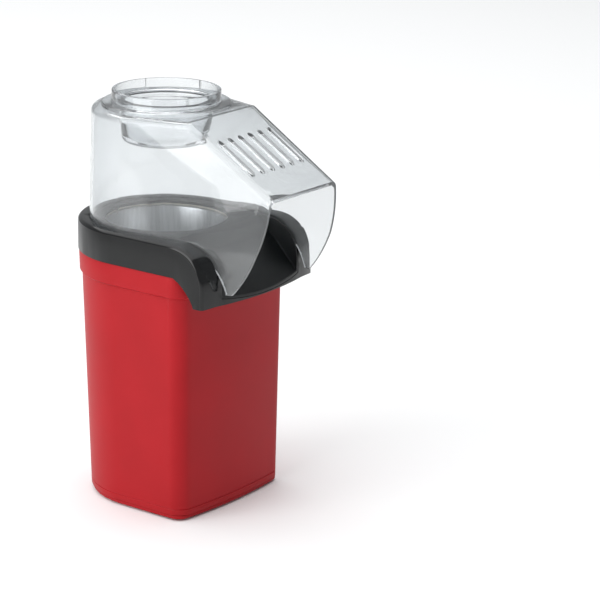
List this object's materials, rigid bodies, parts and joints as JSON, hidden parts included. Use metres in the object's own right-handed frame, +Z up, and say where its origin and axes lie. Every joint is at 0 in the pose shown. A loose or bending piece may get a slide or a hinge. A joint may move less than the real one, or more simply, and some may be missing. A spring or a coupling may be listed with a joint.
{
  "type": "popcorn maker",
  "caption": "Upright hot-air popcorn maker: tapered body, dark collar with an open chute, clear lift-off hood with a measuring cup, fan and heater inside.",
  "frame": {"origin": "centre of the bounding box at the feet, on the surface it stands on", "axes": "+Z up, -Y towards the chute, +X to the right seen from the front"},
  "size_m": [0.124, 0.181, 0.29],
  "materials": {
    "red_plastic": "satin moulded",
    "black_plastic": "glossy moulded",
    "clear_plastic": "clear polished",
    "aluminium": "pressed satin",
    "steel": "bright zinc",
    "rubber": "matt",
    "mica": "laminated",
    "wire_metal": "dull",
    "bronze": "sintered",
    "ferrite": "matt",
    "board_green": "matt",
    "seal_fibre": "woven",
    "lead_insulation": "matt"
  },
  "bodies": {
    "root": {"base_plate": "red_plastic", "base_screw_1": "steel", "base_screw_2": "steel", "base_screw_3": "steel", "base_screw_4": "steel", "body_shell": "red_plastic", "can_screw_1": "steel", "can_screw_2": "steel", "chamber_gasket": "seal_fibre", "chute_tray": "black_plastic", "collar": "black_plastic", "cord_gland": "rubber", "fan_housing": "black_plastic", "foot_1": "rubber", "foot_2": "rubber", "foot_3": "rubber", "foot_4": "rubber", "heater_can": "steel", "heating_coil": "wire_metal", "housing_clip_1": "steel", "housing_clip_2": "steel", "housing_clip_3": "steel", "lead_inlet_to_switch": "lead_insulation", "lead_switch_to_board": "lead_insulation", "mica_board_a": "mica", "mica_board_b": "mica", "motor_bush_lower": "bronze", "motor_bush_upper": "bronze", "motor_can": "steel", "motor_end_cap": "black_plastic", "motor_magnet_left": "ferrite", "motor_magnet_right": "ferrite", "motor_screw_1": "steel", "motor_screw_2": "steel", "popping_chamber": "aluminium", "rectifier_board": "board_green", "switch_housing": "black_plastic", "thermal_fuse": "seal_fibre", "thermostat": "aluminium"},
    "hood": {"hood": "clear_plastic"},
    "cup": {"measuring_cup": "clear_plastic"},
    "rotor": {"impeller": "black_plastic", "motor_shaft": "steel", "motor_armature": "wire_metal"},
    "rocker": {"switch_rocker": "black_plastic"}
  },
  "joints": [
    {"name": "hood_lift", "type": "slide", "parent": "root", "child": "hood", "axis": [0, 0, 1], "range_m": [0, 0.1]},
    {"name": "cup_lift", "type": "slide", "parent": "hood", "child": "cup", "axis": [0, 0, 1], "range_m": [0, 0.06]},
    {"name": "rotor_spin", "type": "hinge", "parent": "root", "child": "rotor", "pos_m": [0, 0.0285, 0.05], "axis": [0, 0, 1], "continuous": true},
    {"name": "rocker_tilt", "type": "hinge", "parent": "root", "child": "rocker", "pos_m": [0, 0.0752, 0.034], "axis": [1, 0, 0], "range_deg": [0, 12]}
  ]
}
